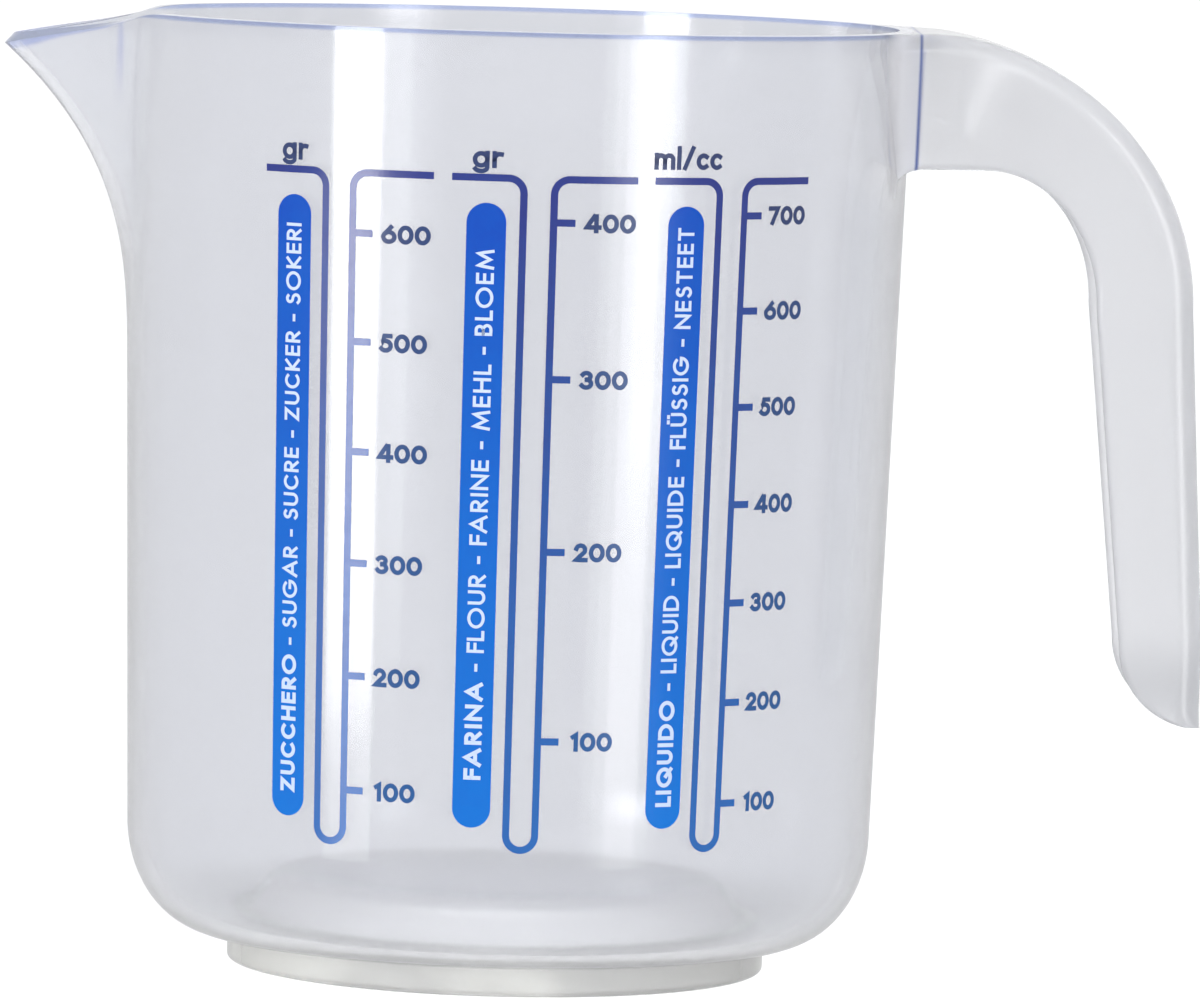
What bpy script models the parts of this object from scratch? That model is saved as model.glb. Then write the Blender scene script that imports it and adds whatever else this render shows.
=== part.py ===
"""Kitchen measuring jug: clear moulded body with spout, hook handle and foot ring, and three printed scales.

The jug stands on z = 0 with its handle towards +X, its spout towards -X and its scales towards -Y.
The origin is the bottom centre of the whole jug, so the body's own axis lies a little to its -X side.
"""

import math

import bmesh
import bpy

MM = 0.001

# Jug body, sizes of the outer surface
HEIGHT = 128.6 * MM
RIM_RADIUS = 53.3 * MM
WALL_DRAFT = math.radians(1.45)
WALL = 2.0 * MM
CORNER_RISE = 15.0 * MM
CORNER_RUN = 11.4 * MM
FLOOR_LIFT = 6.0 * MM
FLOOR_EASE = 5.0 * MM
BODY_SEGMENTS = 96
SPOUT_ROWS = 10
CORNER_ROWS = 7
FLOOR_ROWS = 4

# Foot ring
FOOT_RADIUS = 36.5 * MM
FOOT_HEIGHT = 4.15 * MM
FOOT_WALL = 2.6 * MM

# Spout: how far its lip stands out of the round rim, how far down it runs and how wide it opens
SPOUT_REACH = 16.6 * MM
SPOUT_DEPTH = 48.0 * MM
SPOUT_HALF_ANGLE = math.radians(14.0)
SPOUT_NARROWING = 0.35
SPOUT_CURVE = 2.9
NOSE_SHARE = 0.3
CREASE_BLEND = 0.13
LIP_DROOP = 5.1 * MM
SHOULDER_DROOP = 1.4 * MM
SHOULDER_REACH = 2.0 * MM

# Handle: outline seen from the side, then its section
HANDLE_REACH = 41.3 * MM
HANDLE_LENGTH = 93.5 * MM
HANDLE_BEND = 36.6 * MM
INNER_BEND_RUN = 15.2 * MM
HANDLE_LEAN = 2.7 * MM
ROOT_DEPTH = 18.3 * MM
GRIP_DEPTH = 13.2 * MM
TIP_DEPTH = 11.3 * MM
ROOT_FILLET = 4.0 * MM
HANDLE_WIDTH = 20.0 * MM
TIP_WIDTH = 17.0 * MM
HANDLE_WALL = 2.0 * MM
FLARE_LENGTH = 22.0 * MM
FLARE_TOP = 17.0 * MM
FLARE_BOTTOM = 4.0 * MM
ROOT_ROWS = 9
BEND_ROWS = 8
LEG_ROWS = 4
TIP_ROWS = 6

# Printed scales: a name band and a tube-shaped line with level ticks for each thing that is measured
PRINT_TURN = math.radians(3.1)
SCALE_GAP = 2.35 * MM
LINE_WIDTH = 0.95 * MM
TUBE_WIDTH = 3.9 * MM
TUBE_FOOT = 21.4 * MM
PRINT_BELOW_RIM = 19.0 * MM
BAR_LEFT = 11.2 * MM
BAR_RIGHT = 12.8 * MM
SHOULDER_RADIUS = 2.0 * MM
TICK_LENGTH = 2.8 * MM
BAND_OFFSET = 6.65 * MM
BAND_WIDTH = 5.1 * MM
BAND_END_GAP = 3.3 * MM
INK_THICKNESS = 0.2 * MM
INK_STEP = 1.5 * MM

# Height of each scale's first mark, what the next mark adds to the contents, in cubic metres, and how much less
# each one after it adds, because flour settles under its own weight
SCALES = {
    "sugar": {"place": -1, "first": 28.3 * MM, "step": 113e-6, "settling": 0.0},
    "flour": {"place": 0, "first": 35.8 * MM, "step": 188e-6, "settling": 13e-6},
    "liquid": {"place": 1, "first": 27.3 * MM, "step": 100e-6, "settling": 0.0},
}

CLEARANCE = 0.3 * MM
MERGE = 0.00001


def wall_radius(height):
    """Outer radius of the jug's tapered wall."""
    return RIM_RADIUS - (HEIGHT - height) * math.tan(WALL_DRAFT)


HANDLE_END = RIM_RADIUS + HANDLE_REACH
SPOUT_END = wall_radius(HEIGHT - LIP_DROOP) + SPOUT_REACH
AXIS_X = (SPOUT_END - HANDLE_END) / 2
PRINT_RADIUS = wall_radius(HEIGHT / 2)
SCALE_PITCH = (BAR_LEFT + BAR_RIGHT + SCALE_GAP) / PRINT_RADIUS


def material(name, colour, roughness, alpha=1.0):
    made = bpy.data.materials.new(name)
    made.use_nodes = True
    shader = made.node_tree.nodes["Principled BSDF"]
    shader.inputs["Base Color"].default_value = (*colour, 1.0)
    shader.inputs["Roughness"].default_value = roughness
    shader.inputs["Metallic"].default_value = 0.0
    shader.inputs["Alpha"].default_value = alpha
    return made


def collection(name):
    made = bpy.data.collections.new(name)
    bpy.context.scene.collection.children.link(made)
    return made


def add_object(name, mesh, where, finish=None):
    """Puts a mesh, drawn about the jug's own axis, into the part's frame."""
    made = bpy.data.objects.new(name, mesh)
    made.location.x = AXIS_X
    where.objects.link(made)
    if finish:
        mesh.materials.append(finish)
        mesh.shade_smooth()
        mesh.set_sharp_from_angle(angle=math.radians(35))
    return made


def cutter_object(name, mesh):
    made = add_object(name, mesh, cutters)
    made.hide_render = True
    made.display_type = "WIRE"
    return made


def as_mesh(source, name):
    """The evaluated mesh of an object, with its loose seams welded; the object itself is removed."""
    bpy.context.view_layer.update()
    graph = bpy.context.evaluated_depsgraph_get()
    mesh = bpy.data.meshes.new_from_object(source.evaluated_get(graph))
    mesh.name = name
    bpy.data.objects.remove(source)
    welded = bmesh.new()
    welded.from_mesh(mesh)
    bmesh.ops.remove_doubles(welded, verts=welded.verts, dist=MERGE)
    welded.to_mesh(mesh)
    welded.free()
    return mesh


def turned(name, profile):
    """A profile of (radius, height) points, top to bottom on its outer side, turned about the Z axis."""
    mesh = bpy.data.meshes.new(name)
    edges = [(i, i + 1) for i in range(len(profile) - 1)]
    mesh.from_pydata([(radius, 0.0, height) for radius, height in profile], edges, [])
    guide = bpy.data.objects.new(name, mesh)
    bpy.context.scene.collection.objects.link(guide)
    screw = guide.modifiers.new("turn", "SCREW")
    screw.steps = BODY_SEGMENTS
    screw.render_steps = BODY_SEGMENTS
    screw.use_merge_vertices = True
    screw.merge_threshold = MERGE
    return as_mesh(guide, name)


# ---------------------------------------------------------------- jug body: wall, rounded corner and raised floor

def body_profile():
    """Outer surface from the rim down the wall, round the corner and under the floor to the axis."""
    corner_top = FOOT_HEIGHT + CORNER_RISE
    corner_centre = max(wall_radius(corner_top) - CORNER_RUN, FOOT_RADIUS + CLEARANCE)
    corner_run = wall_radius(corner_top) - corner_centre
    floor_edge = FOOT_RADIUS - FOOT_WALL - CLEARANCE
    points = []
    for i in range(SPOUT_ROWS + 1):
        height = HEIGHT - SPOUT_DEPTH * i / SPOUT_ROWS
        points.append((wall_radius(height), height))
    for i in range(CORNER_ROWS + 1):
        turn = math.pi / 2 * i / CORNER_ROWS
        radius = corner_centre + corner_run * math.cos(turn)
        points.append((radius, corner_top - CORNER_RISE * math.sin(turn)))
    for i in range(FLOOR_ROWS + 1):
        share = i / FLOOR_ROWS
        rise = FLOOR_LIFT * share * share * (3.0 - 2.0 * share)
        points.append((floor_edge - FLOOR_EASE * share, FOOT_HEIGHT + rise))
    points.append((0.0, FOOT_HEIGHT + FLOOR_LIFT))
    return points


def softened(slope):
    """The slope where it is well above 0, easing to 0 below it, which rounds the crease at the spout's root."""
    return CREASE_BLEND * math.log1p(math.exp(slope / CREASE_BLEND))


def spout_share(angle, depth):
    """How much of the spout's throw the wall takes at an angle off the spout's middle: 1 there, 0 well away."""
    half = SPOUT_HALF_ANGLE * (1.0 - SPOUT_NARROWING * depth)
    nose = NOSE_SHARE * half
    return softened(1.0 - (math.hypot(angle, nose) - nose) / half) / softened(1.0)


def spout_throw(depth):
    """How far the spout's middle stands out, with depth below the rim from 0 at the rim to 1 at its foot."""
    lip_depth = LIP_DROOP / SPOUT_DEPTH
    full = SPOUT_REACH / (1.0 - lip_depth) ** SPOUT_CURVE
    return full * max(0.0, 1.0 - depth) ** SPOUT_CURVE


def form_spout(mesh):
    """Draws the wall out into the spout. The lip droops with its reach, and the rows below it follow."""
    for vertex in mesh.vertices:
        below = HEIGHT - vertex.co.z
        if below > SPOUT_DEPTH:
            continue
        angle = math.atan2(vertex.co.y, -vertex.co.x)
        radius = math.hypot(vertex.co.x, vertex.co.y)
        lip = SPOUT_REACH * spout_share(angle, 0.0)
        shoulder = SHOULDER_DROOP * (1.0 - math.exp(-lip / SHOULDER_REACH))
        droop = shoulder + (LIP_DROOP - SHOULDER_DROOP) * lip / SPOUT_REACH
        height = vertex.co.z - droop * (1.0 - below / SPOUT_DEPTH)
        depth = (HEIGHT - height) / SPOUT_DEPTH
        wider = wall_radius(height) + spout_throw(depth) * spout_share(angle, depth)
        vertex.co.x *= wider / radius
        vertex.co.y *= wider / radius
        vertex.co.z = height


# ---------------------------------------------------------------- handle: a U-shaped channel, open towards the jug

def handle_sections():
    """Stations from inside the wall to the free end: outer point, inner point, and half the width at each."""
    grip_outer = HANDLE_END - HANDLE_LEAN
    bend_floor = HEIGHT - HANDLE_BEND
    underside = HEIGHT - ROOT_DEPTH
    grip_inner = grip_outer - GRIP_DEPTH
    tip_height = HEIGHT - HANDLE_LENGTH
    tip_start = tip_height + TIP_DEPTH
    bend_start = grip_inner - INNER_BEND_RUN
    root_half = HANDLE_WIDTH / 2 + FLARE_TOP
    root_start = math.sqrt(wall_radius(underside) ** 2 - root_half ** 2) - CLEARANCE
    outer_run = grip_outer - RIM_RADIUS

    def outer_height(x):
        return bend_floor + HANDLE_BEND * math.sqrt(1.0 - (max(0.0, x - RIM_RADIUS) / outer_run) ** 2)

    def half_widths(x):
        share = max(0.0, 1.0 - (x - root_start) / FLARE_LENGTH) ** 2
        return HANDLE_WIDTH / 2 + FLARE_TOP * share, HANDLE_WIDTH / 2 + FLARE_BOTTOM * share

    sections = []
    fillet_end = wall_radius(underside) + ROOT_FILLET
    for i in range(ROOT_ROWS):
        x = root_start + (bend_start - root_start) * i / ROOT_ROWS
        dip = 0.0
        if x < fillet_end:
            drop = min(1.0, (fillet_end - x) / ROOT_FILLET)
            dip = ROOT_FILLET * (1.0 - math.sqrt(1.0 - drop * drop))
        sections.append(((x, outer_height(x)), (x, underside - dip), *half_widths(x)))
    start_turn = math.asin((bend_start - RIM_RADIUS) / outer_run)
    for i in range(BEND_ROWS):
        turn = math.pi / 2 * i / BEND_ROWS
        outer_turn = start_turn + (math.pi / 2 - start_turn) * i / BEND_ROWS
        outer_x = RIM_RADIUS + outer_run * math.sin(outer_turn)
        outer = (outer_x, bend_floor + HANDLE_BEND * math.cos(outer_turn))
        inner_x = bend_start + INNER_BEND_RUN * math.sin(turn)
        inner = (inner_x, bend_floor + (underside - bend_floor) * math.cos(turn))
        sections.append((outer, inner, *half_widths(outer_x)))
    for i in range(LEG_ROWS):
        share = i / LEG_ROWS
        height = bend_floor + (tip_start - bend_floor) * share
        half = (HANDLE_WIDTH + (TIP_WIDTH - HANDLE_WIDTH) * share) / 2
        outer_x = grip_outer + HANDLE_LEAN * share
        inner_x = grip_inner + (HANDLE_END - TIP_DEPTH - grip_inner) * share
        sections.append(((outer_x, height), (inner_x, height), half, half))
    last_turn = math.acos((HANDLE_WALL + CLEARANCE) / TIP_DEPTH)
    for i in range(TIP_ROWS + 1):
        turn = last_turn * i / TIP_ROWS
        height = tip_start - TIP_DEPTH * math.sin(turn)
        inner_x = HANDLE_END - TIP_DEPTH * math.cos(turn)
        sections.append(((HANDLE_END, height), (inner_x, height), TIP_WIDTH / 2, TIP_WIDTH / 2))
    return sections


def handle_mesh():
    """Skins the U-shaped stations. They differ in depth, width and slope, so the loft is built face by face."""
    loft = bmesh.new()
    rings = []
    for outer, inner, outer_half, inner_half in handle_sections():
        across = math.hypot(inner[0] - outer[0], inner[1] - outer[1])
        web = HANDLE_WALL / across
        web_x = outer[0] + (inner[0] - outer[0]) * web
        web_z = outer[1] + (inner[1] - outer[1]) * web
        ring = []
        for side in (-1, 1):
            corners = [
                (inner[0], side * (inner_half - HANDLE_WALL), inner[1]),
                (inner[0], side * inner_half, inner[1]),
                (outer[0], side * outer_half, outer[1]),
                (web_x, side * (outer_half - HANDLE_WALL), web_z),
            ]
            ring.append([loft.verts.new(corner) for corner in corners])
        left, right = ring
        rings.append([left[0], left[1], left[2], right[2], right[1], right[0], right[3], left[3]])
    for first, second in zip(rings, rings[1:]):
        for i in range(len(first)):
            j = (i + 1) % len(first)
            loft.faces.new((first[i], first[j], second[j], second[i]))
    for ring in (rings[0], rings[-1]):
        loft.faces.new((ring[0], ring[1], ring[2], ring[7]))
        loft.faces.new((ring[2], ring[3], ring[6], ring[7]))
        loft.faces.new((ring[3], ring[4], ring[5], ring[6]))
    bmesh.ops.recalc_face_normals(loft, faces=loft.faces)
    mesh = bpy.data.meshes.new("handle")
    loft.to_mesh(mesh)
    loft.free()
    return mesh


# ---------------------------------------------------------------- printed scales, drawn flat and laid on the wall

def mark_heights(scale):
    """Heights of a scale's marks, up to the shoulder: each holds its step more than the last between the walls."""
    heights = []
    height = scale["first"]
    step = scale["step"]
    while height < HEIGHT - PRINT_BELOW_RIM - SHOULDER_RADIUS:
        heights.append(height)
        height += step / (math.pi * (wall_radius(height) - WALL) ** 2)
        step -= scale["settling"]
    return heights


def arc(centre, radius, start, end, steps):
    """Points on a level arc, both ends included, with angles in degrees."""
    turns = [math.radians(start + (end - start) * i / steps) for i in range(steps + 1)]
    return [(centre[0] + radius * math.cos(t), centre[1] + radius * math.sin(t)) for t in turns]


def scale_outline(heights):
    """Outline of one line: bar, shoulder, down the tube, round its foot, up again with the ticks, shoulder, bar."""
    half = LINE_WIDTH / 2
    middle = TUBE_WIDTH / 2
    top = HEIGHT - PRINT_BELOW_RIM
    corner_z = top - SHOULDER_RADIUS
    left_corner = (-middle - SHOULDER_RADIUS, corner_z)
    right_corner = (middle + SHOULDER_RADIUS, corner_z)
    foot_centre = (0.0, TUBE_FOOT + middle)
    wide = SHOULDER_RADIUS + half
    tight = SHOULDER_RADIUS - half
    points = [(-BAR_LEFT, top + half)]
    points += arc(left_corner, wide, 90, 0, 6)
    points += arc(foot_centre, middle - half, 180, 360, 10)
    points += arc(right_corner, wide, 180, 90, 6)
    points += [(BAR_RIGHT, top + half), (BAR_RIGHT, top - half)]
    points += arc(right_corner, tight, 90, 180, 4)
    for height in reversed(heights):
        points += [(middle + half, height + half), (middle + TICK_LENGTH, height + half)]
        points += [(middle + TICK_LENGTH, height - half), (middle + half, height - half)]
    points += arc(foot_centre, middle + half, 360, 180, 12)
    points += arc(left_corner, tight, 0, 90, 4)
    points += [(-BAR_LEFT, top - half)]
    return points


def band_outline():
    """Outline of the solid band that carries the name: a tall shape with half-round ends."""
    half = BAND_WIDTH / 2
    top = (0.0, HEIGHT - PRINT_BELOW_RIM - BAND_END_GAP - half)
    foot = (0.0, TUBE_FOOT + BAND_END_GAP - LINE_WIDTH / 2 + half)
    return arc(top, half, 0, 180, 12) + arc(foot, half, 180, 360, 12)


def cut_in_strips(mesh, outline):
    """Cuts upright lines through flat ink, one every INK_STEP, so that it can bend round the wall."""
    left = min(across for across, _ in outline)
    right = max(across for across, _ in outline)
    ink = bmesh.new()
    ink.from_mesh(mesh)
    for i in range(1, math.ceil((right - left) / INK_STEP)):
        everything = [*ink.verts, *ink.edges, *ink.faces]
        place = (left + INK_STEP * i, 0.0, 0.0)
        bmesh.ops.bisect_plane(ink, geom=everything, plane_co=place, plane_no=(1.0, 0.0, 0.0), dist=MERGE / 10)
    ink.to_mesh(mesh)
    ink.free()


def ink_mesh(name, outline, turn):
    """Fills a flat outline, thickens it, and wraps it round the wall at an angle from the front."""
    curve = bpy.data.curves.new(name, "CURVE")
    curve.dimensions = "2D"
    curve.fill_mode = "BOTH"
    curve.extrude = INK_THICKNESS / 2
    spline = curve.splines.new("POLY")
    spline.points.add(len(outline) - 1)
    for point, (across, height) in zip(spline.points, outline):
        point.co = (across, height, 0.0, 1.0)
    spline.use_cyclic_u = True
    guide = bpy.data.objects.new(name, curve)
    bpy.context.scene.collection.objects.link(guide)
    mesh = as_mesh(guide, name)
    bpy.data.curves.remove(curve)
    cut_in_strips(mesh, outline)
    for vertex in mesh.vertices:
        across, height, proud = vertex.co
        radius = wall_radius(height) + CLEARANCE + INK_THICKNESS / 2 + proud
        angle = turn + across / PRINT_RADIUS
        vertex.co = (radius * math.sin(angle), -radius * math.cos(angle), height)
    return mesh


# ---------------------------------------------------------------- the scene

for leftover in list(bpy.data.objects):
    bpy.data.objects.remove(leftover)
parts = collection("measuring_jug")
cutters = collection("cutters")

clear_plastic = material("clear_plastic", (0.86, 0.87, 0.91), 0.12, 0.35)
blue_ink = material("blue_ink", (0.03, 0.09, 0.42), 0.35)

vessel = turned("jug_body", body_profile())
form_spout(vessel)
jug_body = add_object("jug_body", vessel, parts, clear_plastic)
shell = jug_body.modifiers.new("wall", "SOLIDIFY")
shell.thickness = WALL
shell.offset = -1.0
shell.use_even_offset = True

foot_inner = FOOT_RADIUS - FOOT_WALL
foot_top = FOOT_HEIGHT - CLEARANCE
foot_profile = [(foot_inner, foot_top), (FOOT_RADIUS, foot_top), (FOOT_RADIUS, 0.0), (foot_inner, 0.0)]
foot_profile.append(foot_profile[0])
add_object("foot_ring", turned("foot_ring", foot_profile), parts, clear_plastic)

handle = add_object("handle", handle_mesh(), parts, clear_plastic)
cutter_low = HEIGHT - ROOT_DEPTH - ROOT_FILLET * 3
cutter_high = HEIGHT + ROOT_FILLET
wall_profile = [
    (0.0, cutter_high),
    (wall_radius(cutter_high) + CLEARANCE, cutter_high),
    (wall_radius(cutter_low) + CLEARANCE, cutter_low),
    (0.0, cutter_low),
]
wall_cutter = cutter_object("wall_cutter", turned("wall_cutter", wall_profile))
trim = handle.modifiers.new("seat_on_wall", "BOOLEAN")
trim.operation = "DIFFERENCE"
trim.object = wall_cutter

for scale_name, scale in SCALES.items():
    tube_turn = PRINT_TURN + SCALE_PITCH * scale["place"]
    band_turn = tube_turn - BAND_OFFSET / PRINT_RADIUS
    line_name = scale_name + "_scale_line"
    line = ink_mesh(line_name, scale_outline(mark_heights(scale)), tube_turn)
    add_object(line_name, line, parts, blue_ink)
    band_name = scale_name + "_name_band"
    add_object(band_name, ink_mesh(band_name, band_outline(), band_turn), parts, blue_ink)
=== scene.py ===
"""Kitchen measuring jug of clear moulded plastic, with three scales printed in blue on its front."""

import math

import bmesh
import bpy
from mathutils import Matrix, Vector


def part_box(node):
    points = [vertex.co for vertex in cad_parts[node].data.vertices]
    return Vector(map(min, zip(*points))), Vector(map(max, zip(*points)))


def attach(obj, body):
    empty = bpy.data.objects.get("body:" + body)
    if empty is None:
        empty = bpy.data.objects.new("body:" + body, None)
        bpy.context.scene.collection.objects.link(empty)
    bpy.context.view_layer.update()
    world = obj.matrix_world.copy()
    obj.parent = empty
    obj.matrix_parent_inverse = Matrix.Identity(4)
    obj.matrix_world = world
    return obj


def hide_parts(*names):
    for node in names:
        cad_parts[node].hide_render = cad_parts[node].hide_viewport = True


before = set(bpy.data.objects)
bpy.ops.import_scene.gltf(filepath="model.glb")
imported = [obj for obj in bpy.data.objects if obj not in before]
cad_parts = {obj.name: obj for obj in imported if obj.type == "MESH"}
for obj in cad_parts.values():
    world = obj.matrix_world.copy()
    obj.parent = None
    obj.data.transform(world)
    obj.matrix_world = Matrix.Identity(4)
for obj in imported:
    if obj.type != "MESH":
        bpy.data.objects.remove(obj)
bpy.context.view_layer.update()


# ---------------------------------------------------------------- jug vessel
# The vessel is one shell of clear plastic, about 2 mm thick. It is injection moulded, with a draft of about a
# degree and a half, a well rounded bottom corner, and a spout drawn out of the rim opposite the handle.
# The plastic looks very slightly blue along its edges.

MM = 0.001
WALL = 2.0 * MM
WALL_DRAFT = math.radians(1.45)

body_low, body_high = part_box("jug_body")
foot_low, foot_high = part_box("foot_ring")
RIM_RADIUS = (body_high.y - body_low.y) / 2
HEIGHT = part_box("handle")[1].z
AXIS_X = body_high.x - RIM_RADIUS
FOOT_RADIUS = (foot_high.y - foot_low.y) / 2
FOOT_HEIGHT = body_low.z

CORNER_RISE = 15.0 * MM
CORNER_RUN = 11.4 * MM
FOOT_WALL = 2.6 * MM
FLOOR_LIFT = 6.0 * MM
FLOOR_EASE = 5.0 * MM
FLOOR_EDGE_GAP = 0.3 * MM
FLOOR_RADII = (24.0 * MM, 18.0 * MM, 11.0 * MM, 4.0 * MM)

SPOUT_DEPTH = 48.0 * MM
SPOUT_HALF_ANGLE = math.radians(14.0)
SPOUT_NARROWING = 0.35
SPOUT_CURVE = 2.9
NOSE_SHARE = 0.3
CREASE_BLEND = 0.13
LIP_DROOP = 5.1 * MM
SHOULDER_DROOP = 1.4 * MM
SHOULDER_REACH = 2.0 * MM

TURN_STEPS = 288
SPOUT_CROWDING = 0.7
SPOUT_ROWS = 44
WALL_ROWS = 14
CORNER_ROWS = 20
FLOOR_ROWS = 12
SMOOTH_ANGLE = math.radians(40)


class Value:
    """A socket of a material, written in sums: each operator adds its Math node."""

    def __init__(self, tree, socket):
        self.tree = tree
        self.socket = socket

    def node(self, kind, settings=None, **sockets):
        """Adds a node of a type, with its settings first and then the values or links of its sockets.

        A socket goes by its name, or by i and its number.
        """
        made = self.tree.nodes.new(kind)
        for name, setting in (settings or {}).items():
            if name == "stops":
                ramp = made.color_ramp
                while len(ramp.elements) < len(setting):
                    ramp.elements.new(0.5)
                for element, (position, colour) in zip(ramp.elements, setting):
                    element.position = position
                    element.color = (*colour, 1.0)
            else:
                setattr(made, name, setting)
        for name, value in sockets.items():
            numbered = name[1:].isdigit()
            socket = made.inputs[int(name[1:]) if numbered else name.replace("_", " ")]
            if isinstance(value, Value):
                self.tree.links.new(value.socket, socket)
            else:
                socket.default_value = value
        return made

    def out(self, made, name=0):
        return Value(self.tree, made.outputs[name])

    def maths(self, operation, first, second):
        return self.out(self.node("ShaderNodeMath", {"operation": operation}, i0=first, i1=second))

    def step(self, low, high):
        """Rises smoothly from 0 at low to 1 at high. Low may be the greater, and then it falls."""
        ease = {"interpolation_type": "SMOOTHSTEP"}
        return self.out(self.node("ShaderNodeMapRange", ease, Value=self, From_Min=low, From_Max=high))

    def strip(self, centre, half):
        """1 at the centre, falling smoothly to 0 on both sides."""
        return self.step(centre - half, centre) * self.step(centre + half, centre)

    def __add__(self, other):
        return self.maths("ADD", self, other)

    def __sub__(self, other):
        return self.maths("SUBTRACT", self, other)

    def __rsub__(self, other):
        return self.maths("SUBTRACT", other, self)

    def __mul__(self, other):
        return self.maths("MULTIPLY", self, other)

    __radd__ = __add__
    __rmul__ = __mul__


def new_material(name):
    """A material with an empty Principled shader, and a Value at its object coordinates."""
    made = bpy.data.materials.new(name)
    made.use_nodes = True
    tree = made.node_tree
    shader = tree.nodes["Principled BSDF"]
    place = Value(tree, tree.nodes.new("ShaderNodeTexCoord").outputs["Object"])
    return made, shader, place


def link(value, socket):
    value.tree.links.new(value.socket, socket)


def noise(place, **sockets):
    """Value of a noise texture at the place."""
    return place.out(place.node("ShaderNodeTexNoise", Vector=place, **sockets))


def clear_plastic(name, haze, clarity, tint, *layers, frosted=None, merged=None):
    """Clear moulded plastic with flow marks and a faint haze. A layer is a mask and a colour laid over the tint.

    frosted is a mask of where its skin is rougher, and merged of where it fades into the piece it lies in.
    """
    made, shader, place = new_material(name)
    flow = noise(place, Scale=22.0, Detail=3.0, Roughness=0.5)
    grain = noise(place, Scale=2600.0, Detail=2.0, Roughness=0.6)
    rough = flow * 0.05 + (haze - 0.025)
    bump = place.node("ShaderNodeBump", Strength=0.06, Distance=0.00004, Height=flow * 6.0 + grain * 0.4)
    link(place.out(bump), shader.inputs["Normal"])
    split = place.node("ShaderNodeSeparateXYZ", Vector=place)
    x, y, z = (place.out(split, axis) for axis in "XYZ")
    colour = (*tint, 1.0)
    for mask, laid_over in layers:
        share = mask(x, y, z, flow)
        mix = {"data_type": "RGBA"}
        colour = place.out(place.node("ShaderNodeMix", mix, Factor=share, i6=colour, i7=(*laid_over, 1.0)), 2)
    link(colour, shader.inputs["Base Color"])
    link(rough + frosted(x, y, z, flow) * 0.4 if frosted else rough, shader.inputs["Roughness"])
    if merged:
        link(1.0 - merged(x, y, z, flow) * 0.8, shader.inputs["Alpha"])
    shader.inputs["IOR"].default_value = 1.49
    shader.inputs["Transmission Weight"].default_value = clarity
    shader.inputs["Coat Weight"].default_value = 0.5
    shader.inputs["Coat Roughness"].default_value = 0.06
    absorb = place.tree.nodes.new("ShaderNodeVolumeAbsorption")
    absorb.inputs["Color"].default_value = (0.50, 0.58, 0.92, 1.0)
    absorb.inputs["Density"].default_value = 6.0
    output = place.tree.nodes["Material Output"]
    place.tree.links.new(absorb.outputs["Volume"], output.inputs["Volume"])
    return made


def wall_radius(height):
    """Outer radius of the tapered wall."""
    return RIM_RADIUS - (HEIGHT - height) * math.tan(WALL_DRAFT)


def spout_share(angle, depth):
    """Share of the spout's throw at an angle off its middle, with the crease at its root rounded."""
    half = SPOUT_HALF_ANGLE * (1.0 - SPOUT_NARROWING * depth)
    nose = NOSE_SHARE * half
    slope = 1.0 - (math.hypot(angle, nose) - nose) / half
    return math.log1p(math.exp(slope / CREASE_BLEND)) / math.log1p(math.exp(1.0 / CREASE_BLEND))


SPOUT_REACH = AXIS_X - body_low.x - wall_radius(HEIGHT - LIP_DROOP)


def spout_point(angle, height):
    """(radius, height) of the outer surface where the spout starts above its foot."""
    lip = SPOUT_REACH * spout_share(angle, 0.0)
    shoulder = SHOULDER_DROOP * (1.0 - math.exp(-lip / SHOULDER_REACH))
    droop = shoulder + (LIP_DROOP - SHOULDER_DROOP) * lip / SPOUT_REACH
    lowered = height - droop * (1.0 - (HEIGHT - height) / SPOUT_DEPTH)
    depth = (HEIGHT - lowered) / SPOUT_DEPTH
    throw = SPOUT_REACH * (max(0.0, 1.0 - depth) / (1.0 - LIP_DROOP / SPOUT_DEPTH)) ** SPOUT_CURVE
    return wall_radius(lowered) + throw * spout_share(angle, depth), lowered


def vessel_rows():
    """Outer profile below the spout, as (radius, height): wall, corner, underside and raised floor."""
    corner_top = FOOT_HEIGHT + CORNER_RISE
    centre = wall_radius(corner_top) - CORNER_RUN
    floor_edge = FOOT_RADIUS - FOOT_WALL - FLOOR_EDGE_GAP
    spout_foot = HEIGHT - SPOUT_DEPTH
    rows = []
    for i in range(1, WALL_ROWS):
        height = spout_foot + (corner_top - spout_foot) * i / WALL_ROWS
        rows.append((wall_radius(height), height))
    for i in range(CORNER_ROWS + 1):
        turn = math.pi / 2 * i / CORNER_ROWS
        rows.append((centre + CORNER_RUN * math.cos(turn), corner_top - CORNER_RISE * math.sin(turn)))
    for i in range(FLOOR_ROWS + 1):
        share = i / FLOOR_ROWS
        rise = FLOOR_LIFT * share * share * (3.0 - 2.0 * share)
        rows.append((floor_edge - FLOOR_EASE * share, FOOT_HEIGHT + rise))
    for radius in FLOOR_RADII:
        rows.append((radius, FOOT_HEIGHT + FLOOR_LIFT))
    return rows


def finished(name, mesh_data, material, slot, *nodes, flat=False):
    """Makes a mesh into a piece of the object that stands for CAD nodes."""
    mesh = bpy.data.meshes.new(name)
    mesh_data.to_mesh(mesh)
    mesh_data.free()
    mesh.materials.append(material)
    if not flat:
        mesh.shade_smooth()
        mesh.set_sharp_from_angle(angle=SMOOTH_ANGLE)
    piece = bpy.data.objects.new(name, mesh)
    bpy.context.scene.collection.objects.link(piece)
    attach(piece, "root")
    if nodes:
        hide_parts(*nodes)
    return piece


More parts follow.
